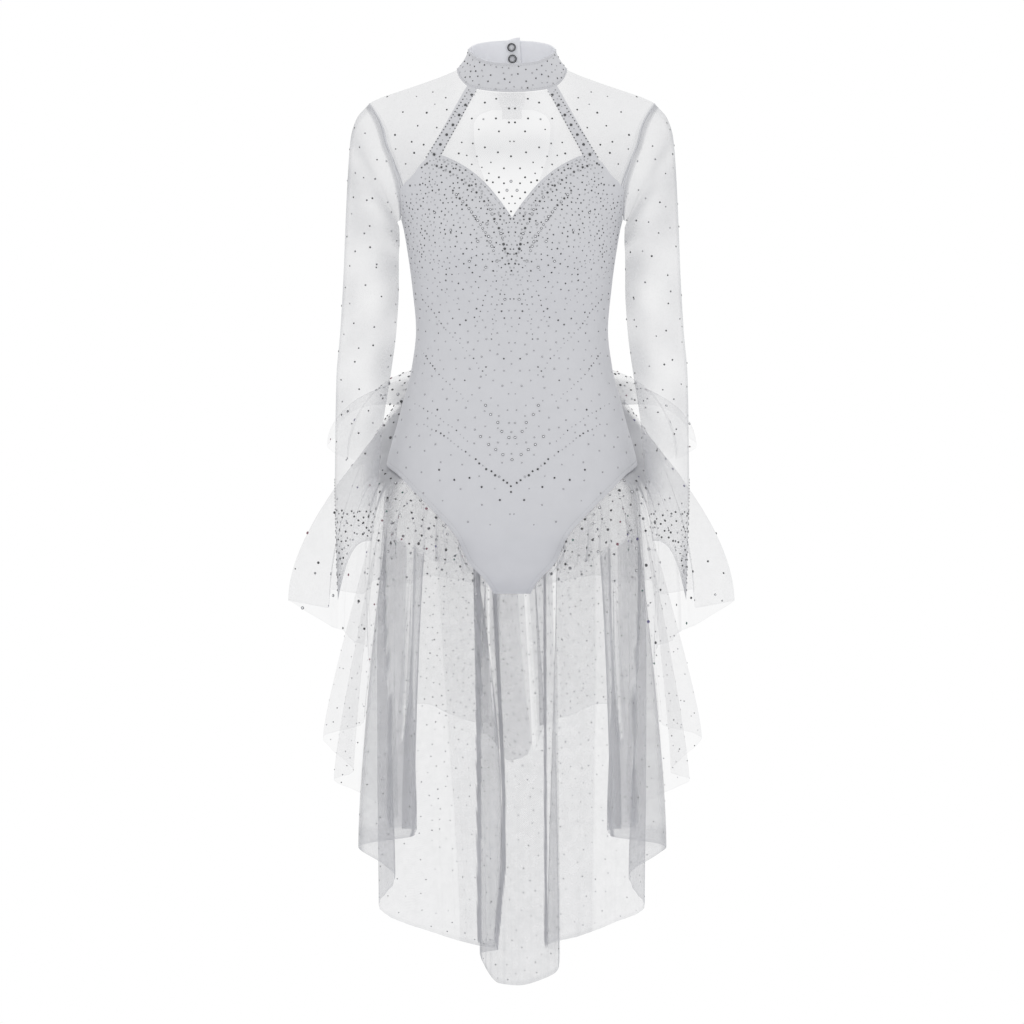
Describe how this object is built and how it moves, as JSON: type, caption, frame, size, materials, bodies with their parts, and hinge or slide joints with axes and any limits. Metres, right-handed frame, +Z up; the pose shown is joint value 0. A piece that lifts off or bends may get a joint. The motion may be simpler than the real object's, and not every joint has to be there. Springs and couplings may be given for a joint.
{
  "type": "figure skating dress",
  "caption": "High-necked halter leotard dress with sheer yoke and pointed sleeves and a tiered net skirt, short in front and long behind, filled out as worn.",
  "frame": {"origin": "midway between the two points where the shoulder lines meet the neck", "axes": "+Z up along the body, +Y towards the back of the dress, +X towards the wearer's left side"},
  "size_m": [0.582, 0.346, 1.2394],
  "materials": {
    "leotard_stretch": "matt stretch knit",
    "collar_band": "matt stretch knit",
    "sheer_mesh": "fine sheer stretch mesh",
    "skirt_net": "soft glitter net",
    "snap_metal": "satin metal",
    "stones": "cut glass stones"
  },
  "bodies": {
    "root": {"collar_front": "leotard_stretch", "collar_back_left": "collar_band", "collar_back_right": "collar_band", "snap_upper_inner": "snap_metal", "snap_upper_outer": "snap_metal", "snap_lower_inner": "snap_metal", "snap_lower_outer": "snap_metal", "yoke_front": "sheer_mesh", "yoke_back_left": "sheer_mesh", "yoke_back_right": "sheer_mesh", "bodice_front": "leotard_stretch", "bodice_back": "leotard_stretch", "brief_back": "leotard_stretch", "sleeve_left": "sheer_mesh", "sleeve_right": "sheer_mesh", "peplum_back": "skirt_net", "flounce_short": "skirt_net", "skirt_mid_left": "skirt_net", "skirt_mid_right": "skirt_net", "skirt_long": "skirt_net"}
  },
  "joints": []
}
